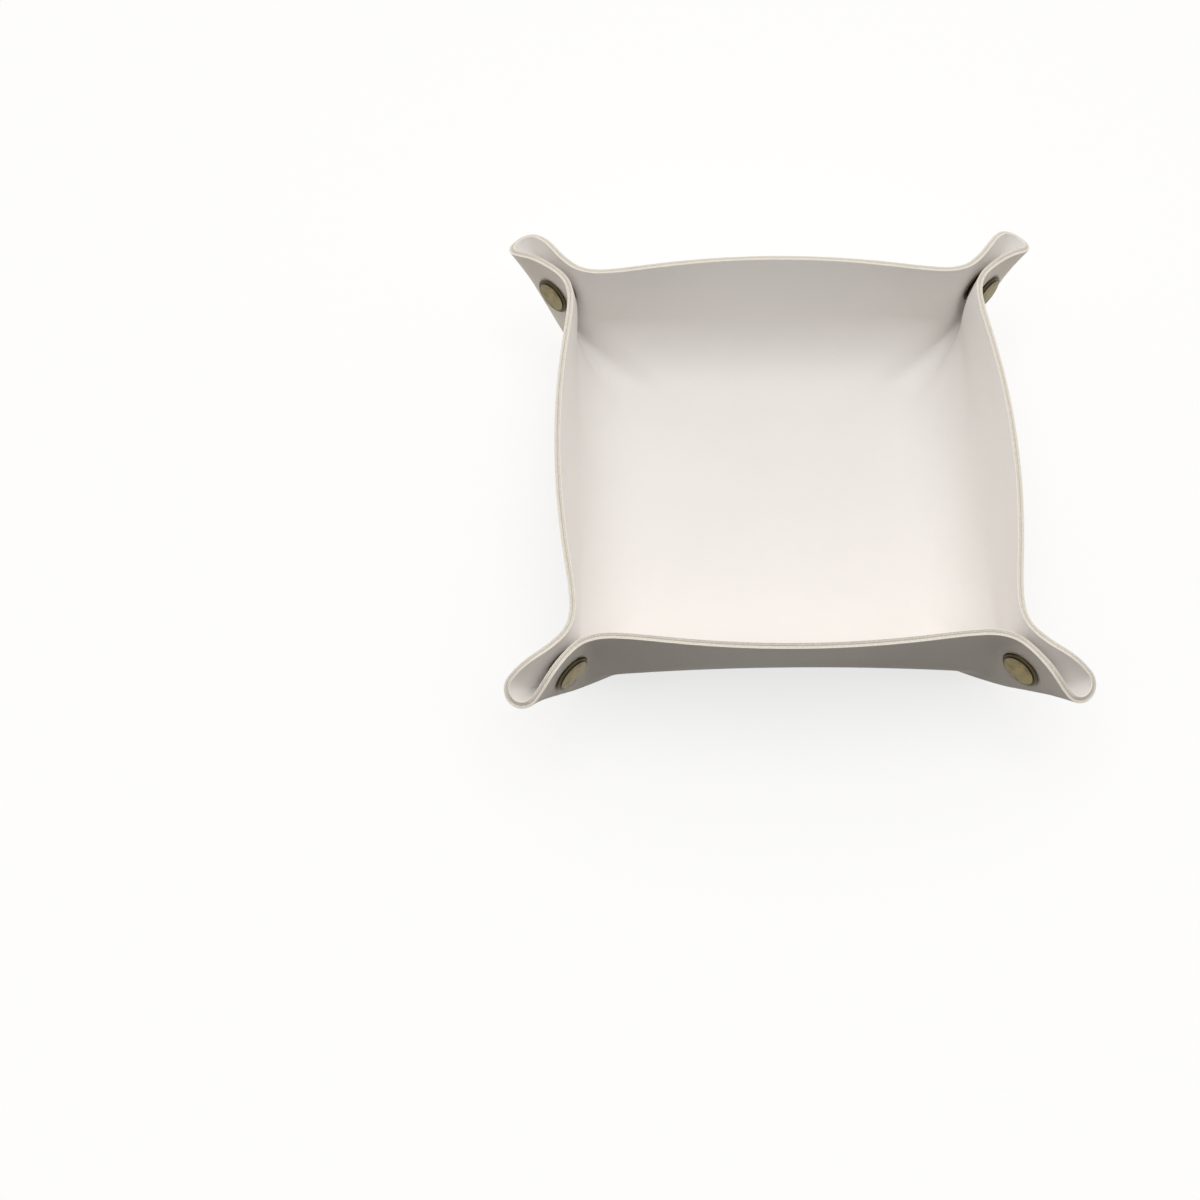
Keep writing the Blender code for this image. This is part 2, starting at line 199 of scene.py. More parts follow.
# Ring sizes, as shares of the sheet's, between which each corner changes
TIGHTEN = (0.440, 0.751)  # its curve tightens from the sheet's corner radius to the pinch
CLOSE = (0.565, 0.790)  # its two walls turn until they face each other
SAG = (0.37, 0.772)  # its ridge falls below the walls
FLARE_FROM = 0.893  # its ear opens from here to the rim

# The ear's opening and the pinched strip beside it
FLARE_POWER = 1.5  # how late the ear opens
FLARE_LIP = 0.2 * MM  # what half the strip's gap gains at the rim
FLARE_REACH = 0.4  # share of the strip that a barely open ear takes to narrow
FLAP_GROWTH = 5.0 * MM  # what the flap gains at the rim
FLAP_BELOW = 1.0 * MM  # what it gains FLAP_SPAN of the sheet's size below the snap
FLAP_SPAN = 0.08
STRIP_BLEND = 5.0 * MM  # how softly the strip shrinks to nothing towards the base
TURN_AT_SNAP = 1.3 * MM  # softness of the turn from the strip to the wall
TURN_AT_RIM = 4.4 * MM

# The ridge's sag, in a trough round the ridge and in a fall along the whole wall
TROUGH_SHARE = 0.67  # the trough's share of the sag
TROUGH_WIDTH = 14.0 * MM
TROUGH_GROWTH = 4.4 * MM  # what it gains at the rim

# Range and rounds of the search for a wall's bow, in radians
BOW_RANGE = (-0.6, 0.9)
BOW_ROUNDS = 40

# Samples of the wall's section, of a ring's wall, and of its ear and its strip
SECTION_SAMPLES = 401
SAMPLES = 960
SHORT_SAMPLES = SAMPLES // 4

# Ring sizes of the mesh, closer where the corners change; one in three goes on to the glued face
FACE_RINGS = np.concatenate(
    [
        (0.08, 0.20),
        np.arange(0.31, 0.60, 0.022),
        np.arange(0.61, 0.80, 0.0105),
        np.arange(0.81, 0.99, 0.010),
    ]
)
HIDDEN_EVERY = 3

# Steps of the mesh along an eighth of a ring
EAR_STEPS = 14
STRIP_STEPS = 7
TURN_STEPS = 11
WALL_STEPS = 10
EIGHTH = EAR_STEPS + STRIP_STEPS + TURN_STEPS + WALL_STEPS
TURN_SPAN = 14 * MM  # stretch past the strip that the turn's steps fill
TURN_CROWDING = 1.2  # power that crowds them towards the strip
STRIP_LEAST = 4.5 * MM  # least stretch that the strip's steps fill
CROWDED_FROM = 0.45  # ring size below which all steps are even


class FoldedSheet:
    """The sheet's middle surface. Each ring, a scaled copy of the rim, keeps its flat length."""

    def __init__(self, sizes):
        self.sizes = sizes
        self.half = sizes.side / 2
        along = np.linspace(0.0, self.half, SECTION_SAMPLES)
        slope = sizes.wall_lean * ramp(along, sizes.bend_start, sizes.bend_end)
        self.section = along, running_sum(np.cos(slope), along), running_sum(np.sin(slope), along)

    def wall_section(self, flat):
        """Reach and height of a wall's middle, at a flat distance from the centre."""
        along, reach, height = self.section
        return np.interp(flat, along, reach), np.interp(flat, along, height)

    def ring(self, size):
        """Distances from an ear's ridge to a wall's middle, the points there, and two marks.

        The points are outward along the diagonal, apart from its upright plane, and up. The
        marks are the distances where the ear's curve and the pinched strip end.
        """
        sizes = self.sizes
        corner = sizes.corner_radius * size
        whole = self.half * size - corner + corner * math.pi / 4
        reach, height = self.wall_section(self.half * size)
        tight = ramp(size, *TIGHTEN)
        flare = max(0.0, (size - FLARE_FROM) / (1 - FLARE_FROM))
        radius = corner * (1 - tight) + sizes.pinch * tight
        radius += sizes.ear_opening * flare**FLARE_POWER
        least = math.pi / 4 * (1 - float(ramp(size, *CLOSE)))

        ear_end = radius * (math.pi / 2 - least)
        below = max(0.0, 1 - sizes.snap_from_rim / self.half - size) / FLAP_SPAN
        flap = sizes.flap + FLAP_GROWTH * flare + FLAP_BELOW * below**2
        over = whole - flap - ear_end
        strip_end = ear_end + (over + math.hypot(over, STRIP_BLEND)) / 2
        ear_half = radius * math.sin(ear_end / radius)
        strip_half = ear_half + math.sin(least) * (strip_end - ear_end)
        if flare > 0:
            strip_half = sizes.pinch + FLARE_LIP * flare**2
        turn = TURN_AT_SNAP + (TURN_AT_RIM - TURN_AT_SNAP) * flare

        on_wall = np.linspace(0.0, whole - strip_end, SAMPLES)
        rise = 1 - (1 + on_wall / turn) * np.exp(-on_wall / turn)

        def wall_line(bow):
            full = math.pi / 4 + bow * (1 - on_wall / on_wall[-1])
            return running_sum(np.sin(least + (full - least) * rise), on_wall)

        # The wall bows just enough for the ring to meet the middle of the wall.
        low, high = BOW_RANGE
        for _ in range(BOW_ROUNDS):
            bow = (low + high) / 2
            if strip_half + wall_line(bow)[-1] < reach / math.sqrt(2):
                low = bow
            else:
                high = bow

        on_ear = np.linspace(0.0, ear_end, SHORT_SAMPLES)[:-1]
        on_strip = np.linspace(0.0, 1.0, SHORT_SAMPLES)[:-1]
        reached = FLARE_REACH + (1 - FLARE_REACH) * flare
        strip = ramp(on_strip, 0.0, reached) if flare > 0 else on_strip
        along = np.concatenate(
            [on_ear, ear_end + (strip_end - ear_end) * on_strip, strip_end + on_wall]
        )
        apart = np.concatenate(
            [
                radius * np.sin(on_ear / radius),
                ear_half + (strip_half - ear_half) * strip,
                strip_half + wall_line(bow),
            ]
        )

        sag = sizes.ridge_sag * ramp(size, *SAG)
        trough = 1 - ramp(along, 0.0, TROUGH_WIDTH + TROUGH_GROWTH * flare)
        fall = (1 - along / whole) ** 2
        up = height - sag * (TROUGH_SHARE * trough + (1 - TROUGH_SHARE) * fall)

        # Every step along the ring keeps the sheet's own length.
        across = np.gradient(apart, along) ** 2 + np.gradient(up, along) ** 2
        out = running_sum(np.sqrt(np.clip(1 - across, 0.0, None)), along)
        outward = reach / math.sqrt(2) + out[-1] - out
        return along, np.stack([outward, apart, up], axis=1), (ear_end, strip_end)

    def stations(self, size, whole, marks):
        """Distances of a ring's mesh points from the ridge: crowded round the ear and the pinch."""
        ear_end, strip_end = marks
        strip_end = max(strip_end, ear_end + STRIP_LEAST)
        on_turn = np.linspace(0.0, 1.0, TURN_STEPS + 1)[:-1] ** TURN_CROWDING
        spaced = np.concatenate(
            [
                np.linspace(0.0, ear_end, EAR_STEPS + 1)[:-1],
                np.linspace(ear_end, strip_end, STRIP_STEPS + 1)[:-1],
                strip_end + TURN_SPAN * on_turn,
                np.linspace(strip_end + TURN_SPAN, whole, WALL_STEPS + 1),
            ]
        )
        even = np.linspace(0.0, whole, EIGHTH + 1)
        near = ramp(size, CROWDED_FROM, CLOSE[1])
        return even * (1 - near) + spaced * near

    def eighth(self, size):
        """Points of the ring beside the +X wall, from the ridge to the wall's middle."""
        along, points, marks = self.ring(size)
        at = self.stations(size, along[-1], marks)
        out, off, up = (np.interp(at, along, points[:, i]) for i in range(3))
        return np.stack([(out + off) / math.sqrt(2), (out - off) / math.sqrt(2), up], axis=1)

    def surface(self, rings):
        """Points and outward normals of all rings, each a loop that starts at the +X wall's middle."""
        eighths = np.stack([self.eighth(size) for size in rings])
        swapped = eighths[:, :, [1, 0, 2]]
        quarter = np.concatenate([eighths[:, ::-1], swapped[:, 1:-1]], axis=1)
        loops = [quarter]
        for _ in range(3):
            last = loops[-1]
            loops.append(np.stack([-last[..., 1], last[..., 0], last[..., 2]], axis=2))
        points = np.concatenate(loops, axis=1)
        around = np.roll(points, -1, axis=1) - np.roll(points, 1, axis=1)
        normals = np.cross(around, np.gradient(points, axis=0))
        return points, normals / np.linalg.norm(normals, axis=2, keepdims=True)


# The finishes of a ply's faces, in the order of its materials
GRAIN = 0
FILM = 1
CORE = 2
GLUE = 3

GLUE_HALF = 0.015 * MM  # from the sheet's middle to a ply's glued face


def rim_section(sizes):
    """A ply's cut edge from its grain face to its glued face.

    Each step is a depth below the grain face, a distance in from the rim, and the finish of the
    band that ends there.
    """
    glued = sizes.thickness / 2 - GLUE_HALF
    return [
        (0.0, 0.40 * MM, GRAIN),
        (0.0, 0.20 * MM, GRAIN),
        (0.03 * MM, 0.07 * MM, FILM),
        (0.10 * MM, 0.01 * MM, FILM),
        (sizes.film, 0.0, FILM),
        (sizes.film + 0.03 * MM, 0.03 * MM, CORE),
        (glued - 0.12 * MM, 0.01 * MM, CORE),
        (glued - 0.04 * MM, 0.04 * MM, GLUE),
        (glued, 0.09 * MM, GLUE),
        (glued, 0.40 * MM, GLUE),
    ]


def ply_geometry(sizes, side):
    """Vertices, faces and finishes of one ply; side is 1 for the outer ply and -1 for the inner."""
    sheet = FoldedSheet(sizes)
    section = rim_section(sizes)
    insets = sorted({inset for _, inset, _ in section}, reverse=True)
    rings = np.concatenate([FACE_RINGS, [1 - inset / sheet.half for inset in insets]])
    points, normals = sheet.surface(rings)
    face_count = len(FACE_RINGS)
    lift = np.array([0.0, 0.0, sizes.thickness / 2])

    def loop(ring, depth):
        return points[ring] + side * (sizes.thickness / 2 - depth) * normals[ring] + lift

    glued = section[-1][0]
    loops = [loop(i, 0.0) for i in range(face_count)]
    finishes = [GRAIN] * face_count
    for depth, inset, finish in section:
        loops.append(loop(face_count + insets.index(inset), depth))
        finishes.append(finish)
    for i in range(face_count - 1, -1, -HIDDEN_EVERY):
        loops.append(loop(i, glued))
        finishes.append(GLUE)
    count = points.shape[1]
    top = (0.0, 0.0, lift[2] - side * sizes.thickness / 2)
    bottom = (0.0, 0.0, lift[2] - side * (sizes.thickness / 2 - glued))
    verts = np.concatenate([[top], np.concatenate(loops), [bottom]])

    index = np.arange(count)
    after = (index + 1) % count
    faces = [(0, 1 + i, 1 + j) for i, j in zip(index, after)]
    bands = [GRAIN] * count
    for k in range(len(loops) - 1):
        a, b = 1 + k * count, 1 + (k + 1) * count
        faces += np.stack([a + index, b + index, b + after, a + after], axis=1).tolist()
        bands += [finishes[k + 1]] * count
    a, pole = 1 + (len(loops) - 1) * count, len(verts) - 1
    faces += [(a + i, pole, a + j) for i, j in zip(index.tolist(), after.tolist())]
    bands += [GLUE] * count
    if side > 0:
        faces = [tuple(reversed(f)) for f in faces]
    return verts, faces, bands


class FlapSplit:
    """How a corner's leather is cut into an ear piece and a flap piece.

    The ear lies between its two walls, and the flap above a slanting line from the base's corner to the
    middle of the rim. Each face goes to the piece whose share is the smaller.
    """

    EAR_HALF = 1.3 * MM  # half the width over which the ear's share goes from none to full
    FLAP_FOOT = (66 * MM, 6 * MM)  # the slanting line's lower end, out along X and up
    FLAP_HEAD = (12 * MM, 46 * MM)  # its upper end
    BEFORE_CAP = 0.3 * MM  # the flap's share is full from this far before the cap
    BELOW_LINE = 0.15  # share of the flap's way, below the line, in which faces are cut too

    def __init__(self, corner, centre, cap_radius):
        sx, sy = CORNERS[corner]
        self.corner = corner
        self.signs = np.array([sx, sy])
        self.across = Vector((-sx, sy, 0)).normalized()
        self.ear_start = -self.across * self.EAR_HALF
        self.ear_end = self.across * self.EAR_HALF
        along = Vector((self.FLAP_HEAD[0] - self.FLAP_FOOT[0], self.FLAP_HEAD[1] - self.FLAP_FOOT[1]))
        rise = Vector((sx * along.y, 0, -along.x)).normalized()
        self.flap_start = Vector((sx * self.FLAP_FOOT[0], 0, self.FLAP_FOOT[1]))
        reach = (centre - self.flap_start).dot(rise) - cap_radius - self.BEFORE_CAP
        self.flap_end = self.flap_start + rise * reach

    @staticmethod
    def share(points, start, end):
        """Each point's share of the way from start, where it is 0, to end, where it is 1."""
        way = np.array(end - start)
        return (points - np.array(start)) @ way / (way @ way)

    def groups(self, centres):
        """0 where a face stays on the tray, 1 in the ear's piece, 2 in the flap's piece."""
        ear = self.share(centres, self.ear_start, self.ear_end)
        flap = self.share(centres, self.flap_start, self.flap_end)
        here = (centres[:, :2] * self.signs > 0).all(axis=1) & (ear > 0) & (flap > 0)
        return np.where(here, np.where(ear < flap, 1, 2), 0)

    def cut(self, bm):
        """Cut edges along the planes where one share takes over from another."""
        ear_way = self.ear_end - self.ear_start
        flap_way = self.flap_end - self.flap_start
        ear_slope = ear_way / ear_way.length_squared
        flap_slope = flap_way / flap_way.length_squared
        between = ear_slope - flap_slope
        level = ear_slope.dot(self.ear_start) - flap_slope.dot(self.flap_start)
        planes = [
            (self.flap_start, flap_way),
            (self.ear_start, ear_way),
            (between * level / between.length_squared, between),
        ]
        for point, normal in planes:
            faces = [f for f in bm.faces if self.near(f.calc_center_median())]
            edges = {e for f in faces for e in f.edges}
            verts = {v for f in faces for v in f.verts}
            bmesh.ops.bisect_plane(
                bm, geom=[*verts, *edges, *faces], dist=SAME_POINT, plane_co=point, plane_no=normal
            )

    def near(self, point):
        """Whether a face is in this corner's quarter and not far below the slanting line."""
        way = self.flap_end - self.flap_start
        height = (point - self.flap_start).dot(way)
        in_quarter = point.x * self.signs[0] > 0 and point.y * self.signs[1] > 0
        return in_quarter and height > -self.BELOW_LINE * way.length_squared


def snap_centre(corner):
    """Midway between a corner's two caps, as the frame has them."""
    ends = [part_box(f"{corner}_{cap}") for cap in ("socket_cap", "stud_cap")]
    return sum((low + high for low, high in ends), Vector()) / 4


# Edges that turn by more than this stay sharp
PLY_SHARP = math.radians(60)
METAL_SHARP = math.radians(40)
WIRE_SHARP = math.radians(50)


def part_of_mesh(name, mesh, chosen, normals):
    """A new object from some faces of a mesh, with the whole mesh's shading at its borders."""
    polygons = [mesh.polygons[i] for i in chosen]
    faces = [list(p.vertices) for p in polygons]
    used = np.unique(np.concatenate(faces))
    place = np.full(len(mesh.vertices), -1)
    place[used] = np.arange(len(used))
    piece = bpy.data.meshes.new(name)
    piece.from_pydata(
        [mesh.vertices[i].co for i in used.tolist()],
        [],
        [place[face].tolist() for face in faces],
    )
    piece.polygons.foreach_set("material_index", [p.material_index for p in polygons])
    piece.polygons.foreach_set("use_smooth", [True] * len(polygons))
    loops = np.concatenate([np.arange(p.loop_start, p.loop_start + p.loop_total) for p in polygons])
    for material in mesh.materials:
        piece.materials.append(material)
    piece.normals_split_custom_set([tuple(n) for n in normals[loops]])
    obj = bpy.data.objects.new(name, piece)
    bpy.context.scene.collection.objects.link(obj)
    return obj


def build_ply(node, side, materials):
    """One ply: its body on the tray, and at each corner an ear and a flap cut off as pieces of their own.
    """
    scene = bpy.context.scene
    verts, faces, bands = ply_geometry(scene.tray_sheet, side)
    whole = bpy.data.meshes.new(node + "_whole")
    whole.from_pydata(verts.tolist(), [], faces)
    whole.polygons.foreach_set("material_index", bands)
    splits = [
        FlapSplit(corner, snap_centre(corner), scene.tray_snaps.cap_radius) for corner in CORNERS
    ]
    bm = bmesh.new()
    bm.from_mesh(whole)
    for split in splits:
        split.cut(bm)
    bm.to_mesh(whole)
    bm.free()
    for material in materials:
        whole.materials.append(material)
    whole.shade_smooth()
    whole.set_sharp_from_angle(angle=PLY_SHARP)
    normals = np.array([n.vector for n in whole.corner_normals])
    centres = np.array([p.center for p in whole.polygons])

    stays = np.ones(len(centres), bool)
    pieces = []
    for split in splits:
        groups = split.groups(centres)
        for group, word, start, end in (
            (1, "ear", split.ear_start, split.ear_end),
            (2, "flap", split.flap_start, split.flap_end),
        ):
            chosen = np.flatnonzero(groups == group)
            stays[chosen] = False
            piece = part_of_mesh(f"{node}_{split.corner}_{word}", whole, chosen.tolist(), normals)
            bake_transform(piece)
            pieces.append(piece)
    body = part_of_mesh(node + "_body", whole, np.flatnonzero(stays).tolist(), normals)
    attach(body, "tray")
    pieces.append(body)
    for piece in pieces:
        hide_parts(node)
    bpy.data.meshes.remove(whole)


def add_node(tree, kind, settings=None, links=None):
    """Add a node, set its properties and unlinked inputs, and link its other inputs.

    An input goes by its name, or by its number where the node has several of that name.
    """
    node = tree.nodes.new(kind)
    for name, value in (settings or {}).items():
        if isinstance(name, int) or name in node.inputs:
            node.inputs[name].default_value = value
        else:
            setattr(node, name, value)
    for name, socket in (links or {}).items():
        tree.links.new(socket, node.inputs[name])
    return node


def new_material(name):
    """An empty material, its node tree and its object coordinates."""
    material = bpy.data.materials.new(name)
    material.use_nodes = True
    tree = material.node_tree
    tree.nodes.clear()
    return material, tree, add_node(tree, "ShaderNodeTexCoord").outputs["Object"]


def rgba(value, brightness=1.0):
    """A colour made lighter or darker, with full alpha."""
    return (*(c * brightness for c in value), 1.0)


# Numbers of a colour Mix node's inputs and of its output
FACTOR = 0
FIRST = 6
SECOND = 7
MIXED = 2

# Widths of the materials' patterns, and the pores' share of the grain
CLOUD = 38 * MM  # in the leather's film
NICK = 0.8 * MM  # in the film's cut edge
RUBBED_PATCH = 3.2 * MM
BRASS_MARK = 0.25 * MM
DRAW_MARK = 0.2 * MM  # on the wire
PORE_SHARE = 0.45  # of a cell's width
PORE_DEPTH = 0.35  # of its depth


def coated_leather(name, film, cell, relief, roughness):
    """Split leather with a pigmented polyurethane film, embossed with a fine grain.

    To the eye it is an even, faintly clouded off-white with a soft satin and a tight pebble.
    """
    material, tree, place = new_material(name)
    cloud = add_node(
        tree,
        "ShaderNodeTexNoise",
        {"Scale": 1 / CLOUD, "Detail": 3.0, "Roughness": 0.55},
        {"Vector": place},
    )
    tone = add_node(
        tree,
        "ShaderNodeMix",
        {"data_type": "RGBA", FIRST: rgba(film, 0.965), SECOND: rgba(film, 1.02)},
        {FACTOR: cloud.outputs["Fac"]},
    )
    pebble = add_node(
        tree,
        "ShaderNodeTexVoronoi",
        {"feature": "SMOOTH_F1", "Scale": 1 / cell, "Smoothness": 0.6, "Randomness": 0.9},
        {"Vector": place},
    )
    pores = add_node(
        tree,
        "ShaderNodeTexNoise",
        {"Scale": 1 / (PORE_SHARE * cell), "Detail": 2.0, "Roughness": 0.6},
        {"Vector": place},
    )
    height = add_node(
        tree,
        "ShaderNodeMath",
        {"operation": "MULTIPLY_ADD", 1: PORE_DEPTH},
        {0: pores.outputs["Fac"], 2: pebble.outputs["Distance"]},
    )
    bump = add_node(
        tree, "ShaderNodeBump", {"Strength": 0.5, "Distance": relief}, {"Height": height.outputs[0]}
    )
    satin = add_node(
        tree,
        "ShaderNodeMapRange",
        {"From Min": 0.3, "From Max": 0.7, "To Min": roughness - 0.05, "To Max": roughness + 0.06},
        {"Value": cloud.outputs["Fac"]},
    )
    shader = add_node(
        tree,
        "ShaderNodeBsdfPrincipled",
        {"IOR": 1.5, "Specular IOR Level": 0.4},
        {
            "Base Color": tone.outputs[MIXED],
            "Roughness": satin.outputs["Result"],
            "Normal": bump.outputs["Normal"],
        },
    )
    add_node(tree, "ShaderNodeOutputMaterial", links={"Surface": shader.outputs["BSDF"]})
    return material


def cut_film(name, film):
    """The film where the knife cut it: a smooth cream line along the rim."""
    material, tree, place = new_material(name)
    nick = add_node(tree, "ShaderNodeTexNoise", {"Scale": 1 / NICK, "Detail": 2.0}, {"Vector": place})
    tone = add_node(
        tree,
        "ShaderNodeMix",
        {"data_type": "RGBA", FIRST: rgba(film, 0.93), SECOND: rgba(film, 1.03)},
        {FACTOR: nick.outputs["Fac"]},
    )
    shader = add_node(
        tree,
        "ShaderNodeBsdfPrincipled",
        {"IOR": 1.5, "Roughness": 0.5, "Specular IOR Level": 0.35},
        {"Base Color": tone.outputs[MIXED]},
    )
    add_node(tree, "ShaderNodeOutputMaterial", links={"Surface": shader.outputs["BSDF"]})
    return material


def cut_split(name, fibre, dark_share, fleck):
    """Split leather where the knife cut it: matt, beige, flecked by the ends of its fibres."""
    material, tree, place = new_material(name)
    ends = add_node(
        tree,
        "ShaderNodeTexNoise",
        {"Scale": 1 / fleck, "Detail": 3.0, "Roughness": 0.7},
        {"Vector": place},
    )
    flecks = add_node(
        tree, "ShaderNodeMapRange", {"From Min": 0.38, "From Max": 0.62}, {"Value": ends.outputs["Fac"]}
    )
    tone = add_node(
        tree,
        "ShaderNodeMix",
        {"data_type": "RGBA", FIRST: rgba(fibre, dark_share), SECOND: rgba(fibre, 1.05)},
        {FACTOR: flecks.outputs["Result"]},
    )
    bump = add_node(
        tree, "ShaderNodeBump", {"Strength": 0.6, "Distance": 0.08 * MM}, {"Height": ends.outputs["Fac"]}
    )
    shader = add_node(
        tree,
        "ShaderNodeBsdfPrincipled",
        {"IOR": 1.45, "Roughness": 0.85, "Specular IOR Level": 0.2},
        {"Base Color": tone.outputs[MIXED], "Normal": bump.outputs["Normal"]},
    )
    add_node(tree, "ShaderNodeOutputMaterial", links={"Surface": shader.outputs["BSDF"]})
    return material


def antique_brass(name, brass, patina, dark_ring, beyond=0.0):
    """Stamped brass, blackened and rubbed back: satin old gold, dark in its steps.

    dark_ring has the radii, from and to, where the patina colour stays whole, and beyond is what stays of
    it past that ring. On a cap that ring lies in the step round the disc and is also painted shade of the
    groove.
    """
    material, tree, place = new_material(name)
    flat = add_node(tree, "ShaderNodeVectorMath", {"operation": "MULTIPLY", 1: (1, 1, 0)}, {0: place})
    radius = add_node(tree, "ShaderNodeVectorMath", {"operation": "LENGTH"}, {0: flat.outputs[0]})
    rubbed = add_node(
        tree,
        "ShaderNodeTexNoise",
        {"Scale": 1 / RUBBED_PATCH, "Detail": 4.0, "Roughness": 0.6},
        {"Vector": place},
    )
    start, end = dark_ring
    soft = 0.18 * MM
    rising = add_node(
        tree,
        "ShaderNodeMapRange",
        {"interpolation_type": "SMOOTHSTEP", "From Min": start - soft, "From Max": start},
        {"Value": radius.outputs["Value"]},
    )
    falling = add_node(
        tree,
        "ShaderNodeMapRange",
        {
            "interpolation_type": "SMOOTHSTEP",
            "From Min": end,
            "From Max": end + soft,
            "To Min": 1.0,
            "To Max": beyond,
        },
        {"Value": radius.outputs["Value"]},
    )
    ring = add_node(
        tree,
        "ShaderNodeMath",
        {"operation": "MULTIPLY"},
        {0: rising.outputs["Result"], 1: falling.outputs["Result"]},
    )
    stain = add_node(
        tree,
        "ShaderNodeMapRange",
        {"From Min": 0.35, "From Max": 0.70, "To Max": 0.60},
        {"Value": rubbed.outputs["Fac"]},
    )
    dark = add_node(
        tree, "ShaderNodeMath", {"operation": "MAXIMUM"}, {0: ring.outputs[0], 1: stain.outputs["Result"]}
    )
    tone = add_node(
        tree,
        "ShaderNodeMix",
        {"data_type": "RGBA", FIRST: rgba(brass), SECOND: rgba(patina)},
        {FACTOR: dark.outputs[0]},
    )
    fine = add_node(
        tree, "ShaderNodeTexNoise", {"Scale": 1 / BRASS_MARK, "Detail": 2.0}, {"Vector": place}
    )
    bump = add_node(
        tree, "ShaderNodeBump", {"Strength": 0.12, "Distance": 0.02 * MM}, {"Height": fine.outputs["Fac"]}
    )
    satin = add_node(
        tree, "ShaderNodeMapRange", {"To Min": 0.30, "To Max": 0.48}, {"Value": rubbed.outputs["Fac"]}
    )
    shader = add_node(
        tree,
        "ShaderNodeBsdfPrincipled",
        {"Metallic": 1.0},
        {
            "Base Color": tone.outputs[MIXED],
            "Roughness": satin.outputs["Result"],
            "Normal": bump.outputs["Normal"],
        },
    )
    add_node(tree, "ShaderNodeOutputMaterial", links={"Surface": shader.outputs["BSDF"]})
    return material


def drawn_steel_wire(name, steel):
    """Hard-drawn spring wire: grey, with fine draw marks that blur its gloss."""
    material, tree, place = new_material(name)
    marks = add_node(
        tree, "ShaderNodeTexNoise", {"Scale": 1 / DRAW_MARK, "Detail": 3.0}, {"Vector": place}
    )
    tone = add_node(
        tree,
        "ShaderNodeMix",
        {"data_type": "RGBA", FIRST: rgba(steel, 0.8), SECOND: rgba(steel)},
        {FACTOR: marks.outputs["Fac"]},
    )
    satin = add_node(
        tree, "ShaderNodeMapRange", {"To Min": 0.22, "To Max": 0.38}, {"Value": marks.outputs["Fac"]}
    )
    shader = add_node(
        tree,
        "ShaderNodeBsdfPrincipled",
        {"Metallic": 1.0},
        {"Base Color": tone.outputs[MIXED], "Roughness": satin.outputs["Result"]},
    )
    add_node(tree, "ShaderNodeOutputMaterial", links={"Surface": shader.outputs["BSDF"]})
    return material


def leather_finishes(name, film, cell, relief, roughness):
    """The four finishes of a ply: its grain, the cut film, the cut core and the glue line.

    Real fibre ends are about 0.1 mm wide; flecks of 0.35 and 0.5 mm show in the picture.
    """
    colours = bpy.context.scene.tray_colours
    return [
        coated_leather(name + "_coated_leather", film, cell, relief, roughness),
        cut_film(name + "_cut_film", colours.film_edge),
        cut_split(name + "_cut_split", colours.split_core, 0.80, 0.35 * MM),
        cut_split(name + "_glue_line", colours.glue, 0.85, 0.5 * MM),
    ]


class TRAY_OT_outer_leather(bpy.types.Operator):
    """Build the outer ply, grain side out"""

    bl_idname = "tray.outer_leather"
    bl_label = "Outer leather"

    def execute(self, context):
        # The real grain is about 0.35 mm; cells of 1.1 mm show in the picture.
        film = context.scene.tray_colours.outer_grain
        build_ply("outer_leather", 1, leather_finishes("outer", film, 1.1 * MM, 0.20 * MM, 0.58))
        return {"FINISHED"}


class TRAY_OT_inner_leather(bpy.types.Operator):
    """Build the inner ply, smooth side up"""

    bl_idname = "tray.inner_leather"
    bl_label = "Inner leather"

    def execute(self, context):
        # The real grain is too fine and flat to show; cells of 0.9 mm, barely raised, just do.
        film = context.scene.tray_colours.inner_grain
        build_ply("inner_leather", -1, leather_finishes("inner", film, 0.9 * MM, 0.06 * MM, 0.50))
        return {"FINISHED"}


ARC_SHARE = 0.45  # the most of a side that the arc at either end takes


def rounded(outline, radius, steps=3):
    """The closed outline with each corner off the axis rounded by a short curve."""
    soft = []
    count = len(outline)
    for i, here in enumerate(outline):
        before, after = Vector(outline[i - 1]), Vector(outline[(i + 1) % count])
        here = Vector(here)
        if here.x < ON_AXIS:
            soft.append(tuple(here))
            continue
        back, on = before - here, after - here
        reach = min(radius, ARC_SHARE * back.length, ARC_SHARE * on.length)
        start, end = here + back.normalized() * reach, here + on.normalized() * reach
        for k in range(steps + 1):
            t = k / steps
            soft.append(tuple(start * (1 - t) ** 2 + here * 2 * t * (1 - t) + end * t**2))
    return soft


def turned_mesh(name, outline, material):
    """A body of revolution round Z from a closed outline of radius and height pairs."""
    segments = bpy.context.scene.tray_snaps.segments
    bm = bmesh.new()
    verts = [bm.verts.new((r, 0.0, h)) for r, h in outline]
    edges = [bm.edges.new((verts[i - 1], verts[i])) for i in range(len(verts))]
    # An edge that lies on the axis would sweep no face.
    for edge in [e for e in edges if all(v.co.x < ON_AXIS for v in e.verts)]:
        edges.remove(edge)
        bm.edges.remove(edge)
    bmesh.ops.spin(
        bm, geom=edges, cent=(0, 0, 0), axis=(0, 0, 1), angle=math.tau, steps=segments, use_merge=True
    )
    bmesh.ops.remove_doubles(bm, verts=bm.verts, dist=SAME_POINT)
    bmesh.ops.recalc_face_normals(bm, faces=bm.faces)
    mesh = bpy.data.meshes.new(name)
    bm.to_mesh(mesh)
    bm.free()
    mesh.materials.append(material)
    mesh.shade_smooth()
    mesh.set_sharp_from_angle(angle=METAL_SHARP)
    return mesh


